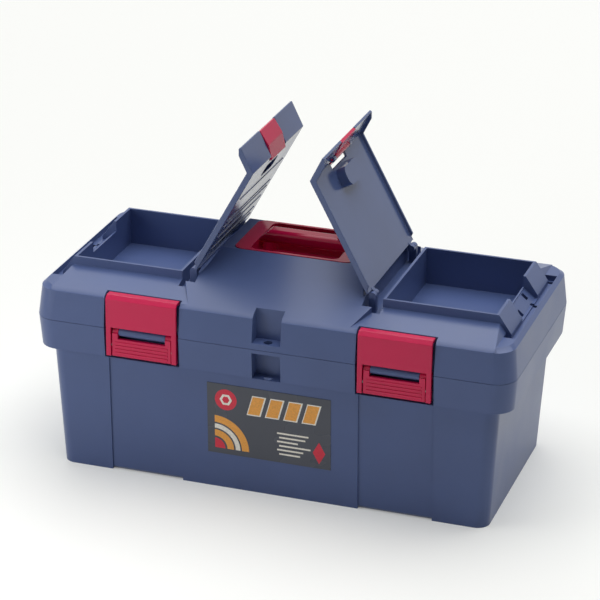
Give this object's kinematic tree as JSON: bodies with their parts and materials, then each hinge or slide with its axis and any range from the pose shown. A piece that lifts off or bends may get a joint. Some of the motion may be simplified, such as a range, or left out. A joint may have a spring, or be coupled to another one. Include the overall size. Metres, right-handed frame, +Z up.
{
  "type": "tool box",
  "caption": "Moulded tool box with a tapered tub, hinged lid with winged parts bins, draw latches, padlock eye, fixed carry handle and lift-out tray.",
  "frame": {"origin": "middle of the underside, on the floor", "axes": "+X along the width to the right, +Y to the rear hinge side, +Z up"},
  "size_m": [0.453, 0.2299, 0.3225],
  "materials": {
    "navy_plastic": "fine grained, satin",
    "crimson_plastic": "smooth, satin",
    "steel": "plain wire",
    "label_film": "smooth film",
    "tray_plastic": "fine grained",
    "guard_plastic": "smooth"
  },
  "bodies": {
    "tub": {"tub_floor": "navy_plastic", "tub_front": "navy_plastic", "tub_rear": "navy_plastic", "tub_left_end": "navy_plastic", "tub_right_end": "navy_plastic", "front_label": "label_film", "lid_hinge_pins": "steel", "left_lever_pin": "steel", "right_lever_pin": "steel"},
    "lid": {"lid_front_left": "navy_plastic", "lid_front_middle": "navy_plastic", "lid_front_right": "navy_plastic", "lid_rear": "navy_plastic", "lid_left_end": "navy_plastic", "lid_right_end": "navy_plastic", "left_bin": "navy_plastic", "right_bin": "navy_plastic", "lid_hood": "navy_plastic", "handle": "crimson_plastic", "handle_screws": "steel", "left_wing_pins": "navy_plastic", "right_wing_pins": "navy_plastic"},
    "left_wing": {"left_wing": "navy_plastic", "left_catch_pin": "crimson_plastic"},
    "right_wing": {"right_wing": "navy_plastic", "right_catch_pin": "crimson_plastic"},
    "left_wing_catch": {"left_wing_catch": "crimson_plastic"},
    "right_wing_catch": {"right_wing_catch": "crimson_plastic"},
    "left_latch_lever": {"left_latch_lever": "crimson_plastic", "left_plate_pins": "steel"},
    "right_latch_lever": {"right_latch_lever": "crimson_plastic", "right_plate_pins": "steel"},
    "left_latch_plate": {"left_latch_plate": "crimson_plastic"},
    "right_latch_plate": {"right_latch_plate": "crimson_plastic"},
    "inner_tray": {"tray_floor": "tray_plastic", "tray_front": "tray_plastic", "tray_rear": "tray_plastic", "tray_left_end": "tray_plastic", "tray_right_end": "tray_plastic", "tray_divider": "tray_plastic", "tray_guards": "guard_plastic"}
  },
  "joints": [
    {"name": "lid_hinge", "type": "hinge", "parent": "tub", "child": "lid", "pos_m": [0, 0.1155, 0.148], "axis": [-1, 0, 0], "range_deg": [0, 105]},
    {"name": "tray_lift", "type": "slide", "parent": "tub", "child": "inner_tray", "axis": [0, 0, 1], "range_m": [0, 0.01]},
    {"name": "left_wing_hinge", "type": "hinge", "parent": "lid", "child": "left_wing", "pos_m": [-0.085, 0, 0.1965], "axis": [0, -1, 0], "range_deg": [0, 118.6]},
    {"name": "left_catch_pivot", "type": "hinge", "parent": "left_wing", "child": "left_wing_catch", "pos_m": [-0.03244, 0, 0.30505], "axis": [0, 1, 0], "range_deg": [0, 12]},
    {"name": "left_lever_pivot", "type": "hinge", "parent": "tub", "child": "left_latch_lever", "pos_m": [-0.1195, -0.1032, 0.144], "axis": [-1, 0, 0], "range_deg": [0, 120]},
    {"name": "left_plate_pivot", "type": "hinge", "parent": "left_latch_lever", "child": "left_latch_plate", "pos_m": [-0.1195, -0.1064, 0.132], "axis": [-1, 0, 0], "range_deg": [-120, 0]},
    {"name": "right_wing_hinge", "type": "hinge", "parent": "lid", "child": "right_wing", "pos_m": [0.085, 0, 0.1965], "axis": [0, 1, 0], "range_deg": [0, 118.6]},
    {"name": "right_catch_pivot", "type": "hinge", "parent": "right_wing", "child": "right_wing_catch", "pos_m": [0.03244, 0, 0.30505], "axis": [0, -1, 0], "range_deg": [0, 12]},
    {"name": "right_lever_pivot", "type": "hinge", "parent": "tub", "child": "right_latch_lever", "pos_m": [0.1195, -0.1032, 0.144], "axis": [-1, 0, 0], "range_deg": [0, 120]},
    {"name": "right_plate_pivot", "type": "hinge", "parent": "right_latch_lever", "child": "right_latch_plate", "pos_m": [0.1195, -0.1064, 0.132], "axis": [-1, 0, 0], "range_deg": [-120, 0]}
  ],
  "couplings": [
    {"joint": "left_plate_pivot", "follows": "left_lever_pivot", "ratio": -1},
    {"joint": "right_plate_pivot", "follows": "right_lever_pivot", "ratio": -1}
  ]
}
